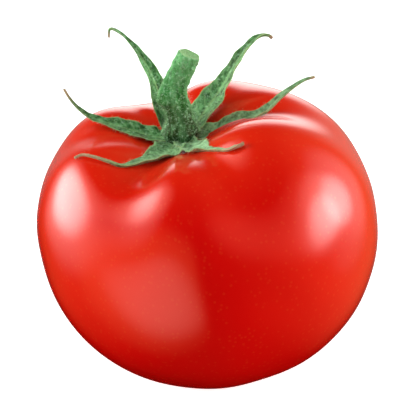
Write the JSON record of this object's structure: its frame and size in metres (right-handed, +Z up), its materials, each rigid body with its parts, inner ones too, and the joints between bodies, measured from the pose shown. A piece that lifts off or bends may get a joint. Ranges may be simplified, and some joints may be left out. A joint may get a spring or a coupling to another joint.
{
  "type": "tomato",
  "caption": "Ripe round tomato, lobed round the stem end, with a short cut stem and its spreading green sepals, resting on a small flat spot.",
  "frame": {"origin": "on the surface the tomato rests on, under the middle of its bounding box", "axes": "+Z up, away from the resting surface; the front of the fruit, where its deepest furrow runs, faces -Y; the stem end leans towards -X"},
  "size_m": [0.076, 0.076, 0.0768],
  "materials": {
    "tomato_skin": "smooth waxy skin, glossy, deep red with an orange cast on the shoulders",
    "stem_green": "green stem covered in short pale hairs, matt",
    "sepal_green": "green leafy sepal with fine veins, pale edges and short hairs, matt"
  },
  "bodies": {
    "root": {"fruit": "tomato_skin", "stem": "stem_green", "sepal_right": "sepal_green", "sepal_back_right": "sepal_green", "sepal_back_left": "sepal_green", "sepal_left": "sepal_green", "sepal_front_left": "sepal_green", "sepal_front_right": "sepal_green"}
  },
  "joints": []
}
